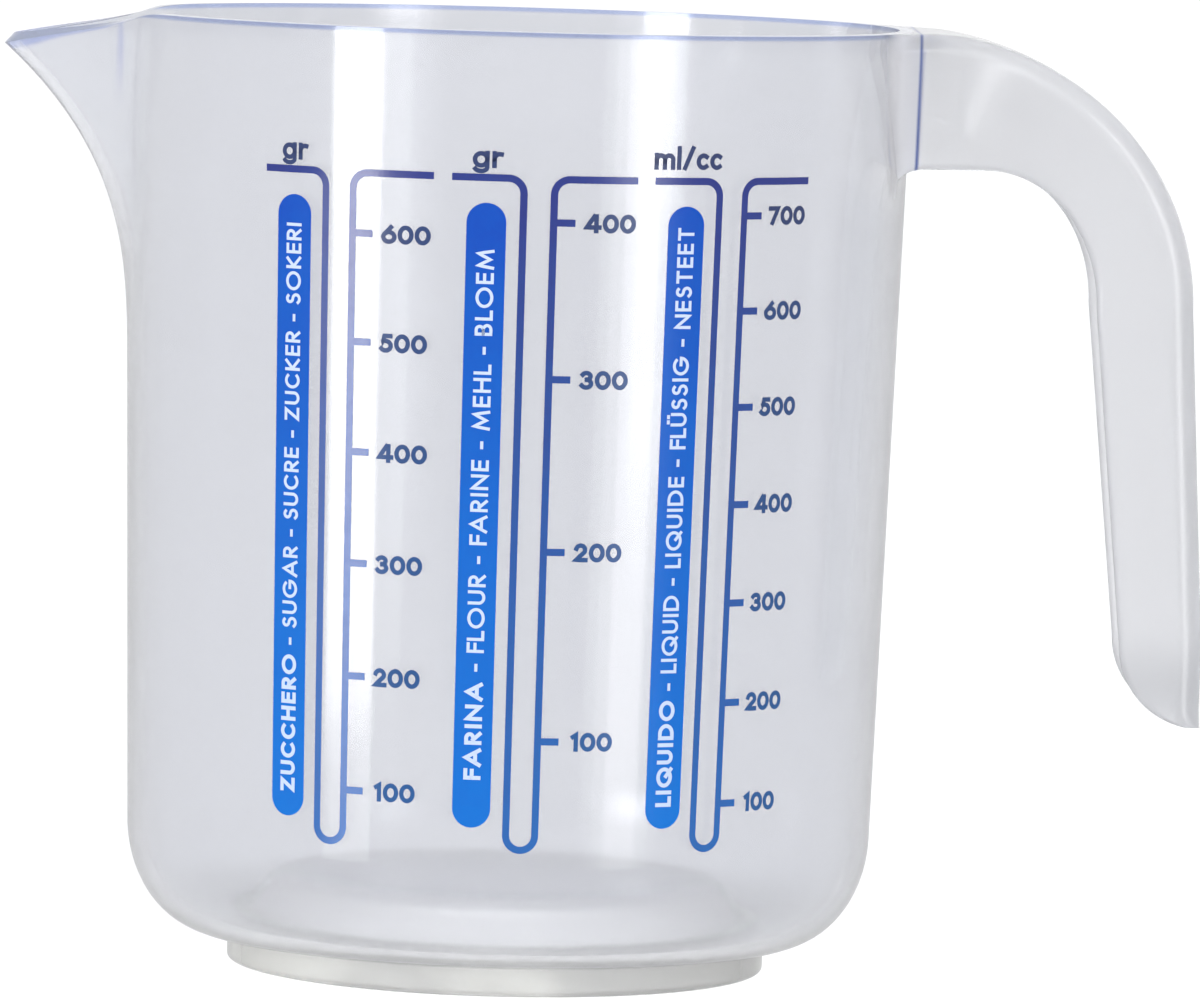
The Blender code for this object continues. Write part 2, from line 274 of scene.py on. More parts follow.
def vessel_mesh():
    """Outer skin, row by row from the lip to the middle of the floor, closer together round the spout."""
    skin = bmesh.new()
    turns = [2 * math.pi * i / TURN_STEPS - math.pi for i in range(TURN_STEPS)]
    angles = [turn - SPOUT_CROWDING * math.sin(turn) for turn in turns]
    rings = []
    for i in range(SPOUT_ROWS + 1):
        height = HEIGHT - SPOUT_DEPTH * i / SPOUT_ROWS
        rings.append([spout_point(angle, height) for angle in angles])
    for radius, height in vessel_rows():
        rings.append([(radius, height)] * TURN_STEPS)
    made = []
    for ring in rings:
        made.append([skin.verts.new((AXIS_X - radius * math.cos(angle), radius * math.sin(angle), height))
                     for angle, (radius, height) in zip(angles, ring)])
    for upper, lower in zip(made, made[1:]):
        for i in range(TURN_STEPS):
            j = (i + 1) % TURN_STEPS
            skin.faces.new((upper[i], upper[j], lower[j], lower[i]))
    middle = skin.verts.new((AXIS_X, 0.0, FOOT_HEIGHT + FLOOR_LIFT))
    for i in range(TURN_STEPS):
        skin.faces.new((made[-1][i], made[-1][(i + 1) % TURN_STEPS], middle))
    return skin


def blue_lip_and_painted_crease(x, y, z, flow):
    """Blue along the spout's lip, thicker towards its tip, and a painted shade line in the upright crease at its
    root, where the wall turns edge-on.
    """
    beyond = (AXIS_X - RIM_RADIUS) - x
    below = (HEIGHT - SHOULDER_DROOP) - beyond * ((LIP_DROOP - SHOULDER_DROOP) / SPOUT_REACH) - z
    thicker = beyond.step(7.0 * MM, 16.0 * MM) * (0.7 * MM)
    lip = (below - thicker).step(0.6 * MM, 0.1 * MM) * beyond.step(0.0, 3.0 * MM)
    # The crease line is painted shade, where the wall is seen edge-on.
    crease = x.strip(AXIS_X - RIM_RADIUS - 0.1 * MM, 0.5 * MM) * z.step(HEIGHT - 14.0 * MM, HEIGHT - 4.0 * MM)
    return lip.maths("MAXIMUM", lip * 0.65, crease * (flow * 0.5 + 0.25))


def painted_shade_low_in_corner(x, y, z, flow):
    """Painted shade: the lowest part of the rounded corner, darker than the wall, as the soft shade near the
    floor.
    """
    return z.step(FOOT_HEIGHT + 6.0 * MM, FOOT_HEIGHT + 1.0 * MM)


def from_axis(x, y):
    """Distance from the jug's axis."""
    out = x - AXIS_X
    return out.maths("POWER", out * out + y * y, 0.5)


def painted_light_on_riser(x, y, z, flow):
    """Painted light: the step up to the floor inside the foot ring, whitened to lift the dark ring that the
    shaded pocket under the floor shows through it.
    """
    step_radius = FOOT_RADIUS - FOOT_WALL - FLOOR_EASE / 2
    return from_axis(x, y).strip(step_radius, 6.0 * MM) * z.step(25.0 * MM, 20.0 * MM)


def frosted_floor(x, y, z, flow):
    """The whole floor inside the foot ring, with a rougher skin than the wall."""
    inside = from_axis(x, y).step(FOOT_RADIUS + 1.0 * MM, FOOT_RADIUS - 3.0 * MM)
    return inside * z.step(25.0 * MM, 20.0 * MM)


def rim_line(x, y, z, flow):
    """A fine blue line along the rounded edge of the rim."""
    return z.step(HEIGHT - 0.8 * MM, HEIGHT - 0.35 * MM)


def painted_shade_under_rim(x, y, z, flow):
    """Painted shade: a darker band just under the rim at the back."""
    return z.step(HEIGHT - 5.0 * MM, HEIGHT - 3.0 * MM) * y.step(-10.0 * MM, 20.0 * MM)


def painted_light_behind_handle(x, y, z, flow):
    """Painted light: the wall behind the handle's root, lighter than the rest."""
    return (x - AXIS_X).step(44.0 * MM, 50.0 * MM) * z.step(HEIGHT - 26.0 * MM, HEIGHT - 18.0 * MM)


def all_over(x, y, z, flow):
    """Everywhere, a little unevenly."""
    return flow * 0.3 + 0.7


vessel_plastic = clear_plastic(
    # The blue line in the spout's crease is painted shade.
    "vessel_plastic", 0.10, 0.85, (0.857, 0.864, 0.888), (blue_lip_and_painted_crease, (0.40, 0.48, 0.80)),
    # The darker colour at the lowest corner is painted shade.
    # The lighter wall behind the handle's root is painted light.
    # The white on the step up to the floor is painted light.
    (painted_shade_low_in_corner, (0.70, 0.705, 0.71)), (painted_light_on_riser, (1.0, 1.0, 1.0)), (painted_light_behind_handle, (0.98, 0.98, 0.99)),
    # The darker band under the rim at the back is painted shade.
    (painted_shade_under_rim, (0.74, 0.75, 0.78)), (rim_line, (0.46, 0.53, 0.76)), frosted=frosted_floor)
rim_plastic = clear_plastic("rim_plastic", 0.12, 0.6, (0.70, 0.74, 0.84), (all_over, (0.44, 0.52, 0.76)))
vessel = finished("jug_vessel", vessel_mesh(), vessel_plastic, "clear_plastic", "jug_body")
vessel.data.materials.append(rim_plastic)
shell = vessel.modifiers.new("wall", "SOLIDIFY")
shell.material_offset_rim = 1
shell.thickness = WALL
shell.offset = -1.0
shell.use_even_offset = True
rounded = vessel.modifiers.new("rim", "BEVEL")
rounded.width = 0.35 * MM
rounded.segments = 3
rounded.limit_method = "ANGLE"
rounded.angle_limit = math.radians(60)
rounded.harden_normals = True


# ---------------------------------------------------------------- foot ring
# A short ring under the jug, moulded with it. It keeps the raised floor off the table.

FOOT_STEPS = 192
FOOT_ROUND = 0.6 * MM
FOOT_ROUND_STEPS = 6
FOOT_OVERLAP = 1.0 * MM


def foot_mesh():
    """A low ring with its lower edges rounded, turned about the jug's axis."""
    inner = FOOT_RADIUS - FOOT_WALL
    top = FOOT_HEIGHT + FOOT_OVERLAP
    profile = [(inner, top), (FOOT_RADIUS, top)]
    for centre, first in ((FOOT_RADIUS - FOOT_ROUND, 0), (inner + FOOT_ROUND, 1)):
        for i in range(FOOT_ROUND_STEPS + 1):
            turn = math.pi / 2 * (first + i / FOOT_ROUND_STEPS)
            profile.append((centre + FOOT_ROUND * math.cos(turn), FOOT_ROUND * (1 - math.sin(turn))))
    ring = bmesh.new()
    rows = []
    for step in range(FOOT_STEPS):
        angle = 2 * math.pi * step / FOOT_STEPS
        rows.append([ring.verts.new((AXIS_X + radius * math.cos(angle), radius * math.sin(angle), height))
                     for radius, height in profile])
    for a, b in zip(rows, rows[1:] + rows[:1]):
        for i in range(len(profile)):
            j = (i + 1) % len(profile)
            ring.faces.new((a[i], b[i], b[j], a[j]))
    bmesh.ops.recalc_face_normals(ring, faces=ring.faces)
    return ring


def painted_highlight_patches(x, y, z, flow):
    """Painted highlights: paler, warmer patches."""
    return flow.step(0.56, 0.44)


# The foot's dark tint is painted shade near the floor, and its paler, warmer patches are painted highlights.
foot_plastic = clear_plastic("foot_plastic", 0.2, 0.6, (0.60, 0.60, 0.585),
                             (painted_highlight_patches, (0.77, 0.77, 0.74)))
finished("jug_foot", foot_mesh(), foot_plastic, "clear_plastic", "foot_ring")


# ---------------------------------------------------------------- handle
# A hook handle, moulded with the jug as a channel: a smooth strip on the outside, with two side walls that
# face the jug. Its root spreads over the wall just under the rim, and its free end is a quarter round.

HANDLE_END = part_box("handle")[1].x - AXIS_X
HANDLE_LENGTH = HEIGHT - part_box("handle")[0].z
HANDLE_BEND = 36.6 * MM
INNER_BEND_RUN = 15.2 * MM
HANDLE_LEAN = 2.7 * MM
ROOT_DEPTH = 18.3 * MM
GRIP_DEPTH = 13.2 * MM
TIP_DEPTH = 11.3 * MM
ROOT_FILLET = 4.0 * MM
HANDLE_WIDTH = 20.0 * MM
TIP_WIDTH = 17.0 * MM
HANDLE_WALL = 2.0 * MM
FLARE_LENGTH = 26.0 * MM
FLARE_EASE = 2.5
ROOT_OVERLAP = 1.0 * MM
FLARE_TOP = 17.0 * MM
FLARE_BOTTOM = 4.0 * MM
EDGE_ROUND = 3.2 * MM
INSIDE_ROUND = 1.4 * MM
TIP_LIP = 0.3 * MM
ROOT_STATIONS = 28
BEND_STATIONS = 30
GRIP_STATIONS = 16
TIP_STATIONS = 18


def handle_stations():
    """Stations along the handle: outer point, inner point, and half the width at each, seen from the side."""
    grip_outer = HANDLE_END - HANDLE_LEAN
    bend_floor = HEIGHT - HANDLE_BEND
    underside = HEIGHT - ROOT_DEPTH
    grip_inner = grip_outer - GRIP_DEPTH
    tip_start = HEIGHT - HANDLE_LENGTH + TIP_DEPTH
    bend_start = grip_inner - INNER_BEND_RUN
    root_half = HANDLE_WIDTH / 2 + FLARE_TOP
    root_start = math.sqrt(wall_radius(underside) ** 2 - root_half ** 2)
    outer_run = grip_outer - RIM_RADIUS
    stations = []

    def outer_height(x):
        beyond = max(0.0, x - RIM_RADIUS) / outer_run
        return bend_floor + HANDLE_BEND * math.sqrt(1.0 - beyond ** 2)

    def half_widths(x):
        share = max(0.0, 1.0 - (x - root_start) / FLARE_LENGTH) ** FLARE_EASE
        return HANDLE_WIDTH / 2 + FLARE_TOP * share, HANDLE_WIDTH / 2 + FLARE_BOTTOM * share

    for i in range(ROOT_STATIONS):
        x = root_start + (bend_start - root_start) * i / ROOT_STATIONS
        stations.append(((x, outer_height(x)), (x, underside), *half_widths(x)))
    start_turn = math.asin((bend_start - RIM_RADIUS) / outer_run)
    for i in range(BEND_STATIONS):
        turn = math.pi / 2 * i / BEND_STATIONS
        outer_turn = start_turn + (math.pi / 2 - start_turn) * i / BEND_STATIONS
        outer_x = RIM_RADIUS + outer_run * math.sin(outer_turn)
        outer = (outer_x, bend_floor + HANDLE_BEND * math.cos(outer_turn))
        inner_x = bend_start + INNER_BEND_RUN * math.sin(turn)
        inner = (inner_x, bend_floor + (underside - bend_floor) * math.cos(turn))
        stations.append((outer, inner, *half_widths(outer_x)))
    for i in range(GRIP_STATIONS):
        share = i / GRIP_STATIONS
        height = bend_floor + (tip_start - bend_floor) * share
        half = (HANDLE_WIDTH + (TIP_WIDTH - HANDLE_WIDTH) * share) / 2
        outer_x = grip_outer + HANDLE_LEAN * share
        inner_x = grip_inner + (HANDLE_END - TIP_DEPTH - grip_inner) * share
        stations.append(((outer_x, height), (inner_x, height), half, half))
    last_turn = math.acos((HANDLE_WALL + TIP_LIP) / TIP_DEPTH)
    for i in range(TIP_STATIONS + 1):
        turn = last_turn * i / TIP_STATIONS
        height = tip_start - TIP_DEPTH * math.sin(turn)
        inner_x = HANDLE_END - TIP_DEPTH * math.cos(turn)
        stations.append(((HANDLE_END, height), (inner_x, height), TIP_WIDTH / 2, TIP_WIDTH / 2))
    return stations


def channel_half(half, deep):
    """Right half of the channel's section as (across, depth), from the strip's middle round the wall."""
    points = []
    edge = min(EDGE_ROUND, deep * 0.45)
    for share in (0.0, 0.3, 0.6, 0.85):
        points.append(((half - edge) * share, 0.0))
    for i in range(9):
        turn = math.pi / 2 * i / 8
        points.append((half - edge + edge * math.sin(turn), edge * (1 - math.cos(turn))))
    end = HANDLE_WALL / 2
    for share in (0.25, 0.5, 0.75):
        points.append((half, edge + (deep - end - edge) * share))
    for i in range(9):
        turn = math.pi * i / 8
        points.append((half - end + end * math.cos(turn), deep - end + end * math.sin(turn)))
    inside = min(INSIDE_ROUND, max(0.0, deep - end - HANDLE_WALL) * 0.9)
    for share in (0.25, 0.5, 0.75):
        points.append((half - HANDLE_WALL, deep - end + (HANDLE_WALL + inside - deep + end) * share))
    for i in range(6):
        turn = math.pi / 2 * i / 5
        across = half - HANDLE_WALL - inside + inside * math.cos(turn)
        points.append((across, HANDLE_WALL + inside - inside * math.sin(turn)))
    for share in (0.6, 0.3, 0.0):
        points.append(((half - HANDLE_WALL - inside) * share, HANDLE_WALL))
    return points


def handle_mesh():
    """Lofts the channel from station to station. Its root starts inside the wall, as both are one moulding."""
    loft = bmesh.new()
    rings = []
    stations = handle_stations()
    root_x = stations[0][0][0]
    for outer, inner, outer_half, inner_half in stations:
        deep = math.hypot(inner[0] - outer[0], inner[1] - outer[1])
        right = channel_half(outer_half, deep)
        left = [(-across, depth) for across, depth in reversed(right[1:-1])]
        ring = []
        for across, depth in right + left:
            share = depth / deep
            across *= 1.0 + (inner_half / outer_half - 1.0) * share
            x = outer[0] + (inner[0] - outer[0]) * share
            z = outer[1] + (inner[1] - outer[1]) * share
            fade = max(0.0, 1.0 - (x - root_x) / FLARE_LENGTH) ** FLARE_EASE
            wall_x = math.sqrt(max(0.0, (wall_radius(z) - ROOT_OVERLAP) ** 2 - across ** 2))
            x += (wall_x - root_x) * fade
            near = min(1.0, max(0.0, 1.0 - (x - wall_x) / ROOT_FILLET))
            z -= ROOT_FILLET * (1.0 - math.sqrt(1.0 - near * near)) * share
            ring.append(loft.verts.new((AXIS_X + x, across, z)))
        rings.append(ring)
    count = len(rings[0])
    opposite = count // 2
    for first, second in zip(rings, rings[1:]):
        for i in range(count):
            j = (i + 1) % count
            loft.faces.new((first[i], first[j], second[j], second[i]))
    for ring in (rings[0], rings[-1]):
        for side in (1, -1):
            for i in range(opposite // 2):
                places = (i, i + 1, opposite - i - 1, opposite - i)
                corners = [ring[side * place % count] for place in places]
                loft.faces.new(dict.fromkeys(corners))
    bmesh.ops.recalc_face_normals(loft, faces=loft.faces)
    return loft


def painted_blue_line_at_root(x, y, z, flow):
    """Painted shade: a fine upright blue line where the handle leaves the wall and is seen edge-on, and a paler
    band beside it.
    """
    edge = AXIS_X + RIM_RADIUS
    line = x.strip(edge + 0.3 * MM, 0.42 * MM)
    band = x.step(edge - 7.0 * MM, edge) * x.step(edge + 0.5 * MM, edge) * 0.07
    return line.maths("MAXIMUM", line, band)


def root(x, y, z, flow):
    """The part that spreads over the wall, which is as clear as the wall itself."""
    return x.step(AXIS_X + RIM_RADIUS + 3.0 * MM, AXIS_X + RIM_RADIUS - 2.0 * MM)


def over_wall(x, y, z, flow):
    """The spread of the root, which is one plastic with the wall it lies in."""
    return x.step(AXIS_X + RIM_RADIUS - 2.0 * MM, AXIS_X + RIM_RADIUS - 5.0 * MM)


def painted_shade_at_free_end(x, y, z, flow):
    """Painted shade: the closed end of the channel, a little darker."""
    return z.step(HEIGHT - HANDLE_LENGTH + 14.0 * MM, HEIGHT - HANDLE_LENGTH + 5.0 * MM)


handle_plastic = clear_plastic("handle_plastic", 0.3, 0.7, (0.905, 0.908, 0.92),
                               # The blue line at the handle's root is painted shade.
                               (root, (0.99, 0.99, 1.0)), (painted_blue_line_at_root, (0.07, 0.12, 0.42)),
                               # The darker closed end of the handle is painted shade.
                               (painted_shade_at_free_end, (0.78, 0.785, 0.80)), merged=over_wall)
finished("jug_handle", handle_mesh(), handle_plastic, "clear_plastic", "handle")


# ---------------------------------------------------------------- printed scales
# Screen-printed ink, a few hundredths of a millimetre thick, on the front of the wall. Each scale is a line
# in the shape of a tube, with level ticks on its right side, and a mark wherever the jug holds one step more.

PRINT_TURN = math.radians(3.1)
PRINT_RADIUS = wall_radius(HEIGHT / 2)
PRINT_TOP = HEIGHT - 19.0 * MM
INK_LIFT = 0.02 * MM
INK_THICKNESS = 0.03 * MM
STROKE_STEP = 0.8 * MM
TOUCHING = 0.001 * MM
LINE_WIDTH = 0.95 * MM
TUBE_WIDTH = 3.9 * MM
TUBE_FOOT = 21.4 * MM
BAR_LEFT = 11.2 * MM
BAR_RIGHT = 12.8 * MM
SCALE_GAP = 2.35 * MM
SHOULDER_RADIUS = 2.0 * MM
TICK_LENGTH = 2.8 * MM
SCALE_TURN = (BAR_LEFT + BAR_RIGHT + SCALE_GAP) / PRINT_RADIUS

SCALES = {
    "sugar": {"place": -1, "first": 28.3 * MM, "step": 113e-6, "settling": 0.0},
    "flour": {"place": 0, "first": 35.8 * MM, "step": 188e-6, "settling": 13e-6},
    "liquid": {"place": 1, "first": 27.3 * MM, "step": 100e-6, "settling": 0.0},
}


def printed_ink(name, gloss, low_colour, high_colour):
    """Glossy blue ink, with the slight mottle of a screen print, and painted light: brighter and bluer towards
    the foot, darker towards the top.
    """
    made, shader, place = new_material(name)
    split = place.node("ShaderNodeSeparateXYZ", Vector=place)
    mottle = noise(place, Scale=900.0, Detail=4.0, Roughness=0.65)
    patches = noise(place, Scale=90.0, Detail=2.0, Roughness=0.5)
    # The colour's change with height is painted light.
    height = place.out(split, "Z") * (1.0 / HEIGHT) + patches * 0.3 + mottle * 0.12 - 0.21
    stops = [(0.12, low_colour), (0.88, high_colour)]
    blend = place.node("ShaderNodeValToRGB", {"stops": stops}, Fac=height)
    link(place.out(blend), shader.inputs["Base Color"])
    link(mottle * 0.14 + 0.12, shader.inputs["Roughness"])
    bump = place.node("ShaderNodeBump", Strength=0.1, Distance=0.00002, Height=mottle)
    link(place.out(bump), shader.inputs["Normal"])
    shader.inputs["IOR"].default_value = 1.49
    shader.inputs["Specular IOR Level"].default_value = gloss
    return made


def arc(centre, radii, start, end, steps=16):
    """Points on an arc, both ends included, with angles in degrees."""
    turns = [math.radians(start + (end - start) * i / steps) for i in range(steps + 1)]
    return [(centre[0] + radii[0] * math.cos(t), centre[1] + radii[1] * math.sin(t)) for t in turns]


def in_short_steps(points, longest):
    """The same path with its long straight runs cut up, so that it can follow the wall."""
    made = [points[0]]
    for start, end in zip(points, points[1:]):
        count = max(1, math.ceil(math.dist(start, end) / longest))
        for i in range(1, count + 1):
            made.append(tuple(a + (b - a) * i / count for a, b in zip(start, end)))
    return made


def draw_line(ink, points, width, longer=0.0):
    """Adds a flat stroke along a path, with mitred corners. A path that ends where it starts is closed.

    An open path runs on past both its ends by longer.
    """
    closed = math.dist(points[0], points[-1]) < TOUCHING
    if longer and not closed:
        start, end = Vector(points[0]), Vector(points[-1])
        start += (start - Vector(points[1])).normalized() * longer
        end += (end - Vector(points[-2])).normalized() * longer
        points = [tuple(start), *points[1:-1], tuple(end)]
    points = in_short_steps(points, STROKE_STEP)
    if closed:
        points = points[:-1]
    sides = []
    for i, point in enumerate(points):
        before = points[i - 1] if i or closed else point
        after = points[(i + 1) % len(points)] if i + 1 < len(points) or closed else point
        first = Vector((point[0] - before[0], point[1] - before[1]))
        second = Vector((after[0] - point[0], after[1] - point[1]))
        first = first.normalized() if first.length else second.normalized()
        second = second.normalized() if second.length else first
        along = (first + second).normalized() if (first + second).length > 0.01 else second
        reach = width / 2 / max(0.5, along.dot(first))
        across = Vector((-along.y, along.x)) * reach
        sides.append((ink.verts.new((point[0] + across.x, point[1] + across.y, 0.0)),
                      ink.verts.new((point[0] - across.x, point[1] - across.y, 0.0))))
    pairs = list(zip(sides, sides[1:])) + ([(sides[-1], sides[0])] if closed else [])
    for (left, right), (next_left, next_right) in pairs:
        ink.faces.new((left, right, next_right, next_left))


def wrapped(name, ink, turn, lift, material, slot, *nodes):
    """Bends flat ink round the wall at an angle from the front, thickens it, and adds it to the jug."""
    for vertex in ink.verts:
        across, height, _ = vertex.co
        radius = wall_radius(height) + lift
        angle = turn + across / PRINT_RADIUS
        vertex.co = (AXIS_X + radius * math.sin(angle), -radius * math.cos(angle), height)
    for face in ink.faces:
        face.normal_update()
        middle = face.calc_center_median()
        if face.normal.dot(middle - Vector((AXIS_X, 0.0, middle.z))) < 0:
            face.normal_flip()
    piece = finished(name, ink, material, slot, *nodes, flat=True)
    layer = piece.modifiers.new("layer", "SOLIDIFY")
    layer.thickness = INK_THICKNESS
    layer.offset = 1.0


def mark_heights(scale):
    """Heights of a scale's marks, up to the shoulder: between two of them, the jug holds one step."""
    heights = []
    height = scale["first"]
    step = scale["step"]
    while height < PRINT_TOP - SHOULDER_RADIUS:
        heights.append(height)
        height += step / (math.pi * (wall_radius(height) - WALL) ** 2)
        step -= scale["settling"]
    return heights


def scale_line(heights):
    """One line from bar to bar, down the tube and up again, and a tick for each mark."""
    ink = bmesh.new()
    middle = TUBE_WIDTH / 2
    corner = PRINT_TOP - SHOULDER_RADIUS
    bend = (SHOULDER_RADIUS, SHOULDER_RADIUS)
    path = [(-BAR_LEFT, PRINT_TOP)]
    path += arc((-middle - SHOULDER_RADIUS, corner), bend, 90, 0, 10)
    path += arc((0.0, TUBE_FOOT + middle), (middle, middle), 180, 360, 24)
    path += arc((middle + SHOULDER_RADIUS, corner), bend, 180, 90, 10)
    path += [(BAR_RIGHT, PRINT_TOP)]
    draw_line(ink, path, LINE_WIDTH)
    for height in heights:
        tick = [(middle + LINE_WIDTH * 0.4, height), (middle + TICK_LENGTH, height)]
        draw_line(ink, tick, LINE_WIDTH)
    return ink


line_ink = printed_ink("line_ink", 0.75, (0.003, 0.115, 0.42), (0.006, 0.018, 0.195))
for scale_name, scale in SCALES.items():
    scale_turn = PRINT_TURN + SCALE_TURN * scale["place"]
    scale_ink = scale_line(mark_heights(scale))
    wrapped(scale_name + "_scale", scale_ink, scale_turn, INK_LIFT, line_ink, "blue_ink",
            scale_name + "_scale_line")


# ---------------------------------------------------------------- name bands
# A solid band of the same ink stands to the left of each tube, with half-round ends. It carries the name of
# what is measured, in several languages.

BAND_OFFSET = 6.65 * MM
BAND_WIDTH = 5.1 * MM
BAND_END_GAP = 3.3 * MM
BAND_FOOT = TUBE_FOOT + BAND_END_GAP - LINE_WIDTH / 2
BAND_TOP = PRINT_TOP - BAND_END_GAP
BAND_COLUMNS = 8
BAND_ROWS = 60
END_ROWS = 14
END_START = 0.12


def band():
    """A tall shape with half-round ends, in narrow columns so that it bends with the wall."""
    ink = bmesh.new()
    half = BAND_WIDTH / 2
    straight = BAND_TOP - BAND_FOOT - BAND_WIDTH
    ends = [half * (1 - math.cos(math.pi / 2 * (i + END_START) / END_ROWS)) for i in range(END_ROWS)]
    heights = [BAND_FOOT + end for end in ends]
    heights += [BAND_FOOT + half + straight * i / BAND_ROWS for i in range(BAND_ROWS + 1)]
    heights += [BAND_TOP - end for end in reversed(ends)]
    rows = []
    for height in heights:
        into_end = max(0.0, BAND_FOOT + half - height, height - BAND_TOP + half)
        reach = math.sqrt(half * half - into_end * into_end)
        rows.append([ink.verts.new((reach * (2 * i / BAND_COLUMNS - 1), height, 0.0))
                     for i in range(BAND_COLUMNS + 1)])
    for lower, upper in zip(rows, rows[1:]):
        for i in range(BAND_COLUMNS):
            ink.faces.new((lower[i], lower[i + 1], upper[i + 1], upper[i]))
    return ink


band_ink = printed_ink("band_ink", 0.3, (0.001, 0.165, 0.61), (0.001, 0.063, 0.44))
for scale_name, scale in SCALES.items():
    band_turn = PRINT_TURN + SCALE_TURN * scale["place"] - BAND_OFFSET / PRINT_RADIUS
    wrapped(scale_name + "_band", band(), band_turn, INK_LIFT, band_ink, "blue_ink",
            scale_name + "_name_band")


# ---------------------------------------------------------------- lettering
# The numbers and units are printed in the same ink, and the names stand out pale on the bands. All are set in
# plain geometric letters with strokes of one width. A glyph is its width, as a share of the capitals' height,
# and its strokes in a box of 1 by 1.

ROUND = (0.5, 0.5)
SPACE = 0.38
CLOSER = {"F": 0.10, "L": 0.06}


def bowl(middle, height, radius, centre=0.5):
    """A bowl of a letter such as B or R: out from the stem, round, and back to it."""
    turned = arc((centre, middle), (radius, height), 90, -90)
    return [(0.0, middle + height), *turned, (0.0, middle - height)]


GLYPHS = {
    "0": (0.66, [arc(ROUND, ROUND, 90, 450, 32)]),
    "1": (0.20, [[(-0.15, 0.86), (0.75, 1.0), (0.75, 0.0)]]),
    "2": (0.56, [arc((0.48, 0.70), (0.45, 0.30), 165, -35) + [(0.0, 0.0), (1.0, 0.0)]]),
    "3": (0.56, [arc((0.46, 0.77), (0.42, 0.23), 150, -80),
                 arc((0.46, 0.27), (0.50, 0.27), 80, -150)]),
    "4": (0.70, [[(0.76, 0.0), (0.76, 1.0)], [(0.60, 1.0), (0.0, 0.24), (1.0, 0.24)]]),
    "5": (0.56, [[(0.92, 1.0), (0.32, 1.0), (0.16, 0.56),
                  *arc((0.44, 0.32), (0.54, 0.33), 122, -145)]]),
    "6": (0.64, [arc((0.5, 0.33), (0.5, 0.33), 90, 450, 32), [(0.68, 1.0), (0.06, 0.47)]]),
    "7": (0.58, [[(0.0, 1.0), (0.96, 1.0), (0.30, 0.0)]]),
    "g": (0.46, [arc((0.5, 0.33), (0.5, 0.33), 90, 450, 32),
                 [(1.0, 0.68), (1.0, -0.10)] + arc((0.5, -0.10), (0.5, 0.20), 0, -155)]),
    "r": (0.24, [[(0.0, 0.0), (0.0, 0.68)], [(0.0, 0.34)] + arc((0.85, 0.36), (0.85, 0.28), 170, 75)]),
    "m": (0.72, [[(0.0, 0.0), (0.0, 0.68)],
                 [(0.0, 0.3)] + arc((0.25, 0.42), (0.25, 0.23), 180, 0, 12) + [(0.5, 0.0)],
                 [(0.5, 0.3)] + arc((0.75, 0.42), (0.25, 0.23), 180, 0, 12) + [(1.0, 0.0)]]),
    "l": (0.0, [[(0.0, 0.0), (0.0, 1.05)]]),
    "/": (0.34, [[(0.0, -0.02), (1.0, 1.05)]]),
    "c": (0.36, [arc((0.62, 0.33), (0.62, 0.33), 52, 308)]),
    "-": (0.24, [[(0.0, 0.42), (1.0, 0.42)]]),
    "A": (0.74, [[(0.0, 0.0), (0.5, 1.0), (1.0, 0.0)], [(0.2, 0.3), (0.8, 0.3)]]),
    "B": (0.44, [[(0.0, 0.0), (0.0, 1.0)], bowl(0.76, 0.24, 0.38), bowl(0.26, 0.26, 0.5)]),
    "C": (0.66, [arc((0.56, 0.5), (0.56, 0.5), 48, 312, 28)]),
    "D": (0.66, [[(0.0, 0.0), (0.0, 1.0)], bowl(0.5, 0.5, 0.66, centre=0.34)]),
    "E": (0.40, [[(1.0, 1.0), (0.0, 1.0), (0.0, 0.0), (1.0, 0.0)], [(0.0, 0.52), (0.94, 0.52)]]),
    "F": (0.38, [[(1.0, 1.0), (0.0, 1.0), (0.0, 0.0)], [(0.0, 0.52), (0.94, 0.52)]]),
    "G": (0.84, [arc(ROUND, ROUND, 45, 360, 28) + [(0.58, 0.5)]]),
    "H": (0.58, [[(0.0, 0.0), (0.0, 1.0)], [(1.0, 0.0), (1.0, 1.0)], [(0.0, 0.52), (1.0, 0.52)]]),
    "I": (0.0, [[(0.0, 0.0), (0.0, 1.0)]]),
    "K": (0.50, [[(0.0, 0.0), (0.0, 1.0)], [(0.94, 1.0), (0.08, 0.5), (1.0, 0.0)]]),
    "L": (0.36, [[(0.0, 1.0), (0.0, 0.0), (1.0, 0.0)]]),
    "M": (0.84, [[(0.0, 0.0), (0.14, 1.0), (0.5, 0.16), (0.86, 1.0), (1.0, 0.0)]]),
    "N": (0.62, [[(0.0, 0.0), (0.0, 1.0), (1.0, 0.0), (1.0, 1.0)]]),
    "O": (0.88, [arc(ROUND, ROUND, 90, 450, 36)]),
    "Q": (0.88, [arc(ROUND, ROUND, 90, 450, 36), [(0.58, 0.36), (1.0, -0.02)]]),
    "R": (0.46, [[(0.0, 0.0), (0.0, 1.0)], bowl(0.74, 0.26, 0.44), [(0.34, 0.48), (1.0, 0.0)]]),
    "S": (0.44, [arc((0.52, 0.77), (0.42, 0.23), 42, 260)
                 + arc((0.48, 0.27), (0.52, 0.27), 82, -145)]),
    "T": (0.52, [[(0.0, 1.0), (1.0, 1.0)], [(0.5, 0.0), (0.5, 1.0)]]),
    "U": (0.56, [[(0.0, 1.0)] + arc((0.5, 0.34), (0.5, 0.34), 180, 360, 20) + [(1.0, 1.0)]]),
    "Z": (0.56, [[(0.04, 1.0), (0.96, 1.0), (0.04, 0.0), (1.0, 0.0)]]),
}
dots = [[(0.2, 1.28), (0.3, 1.28)], [(0.7, 1.28), (0.8, 1.28)]]
GLYPHS["Ü"] = (GLYPHS["U"][0], GLYPHS["U"][1] + dots)


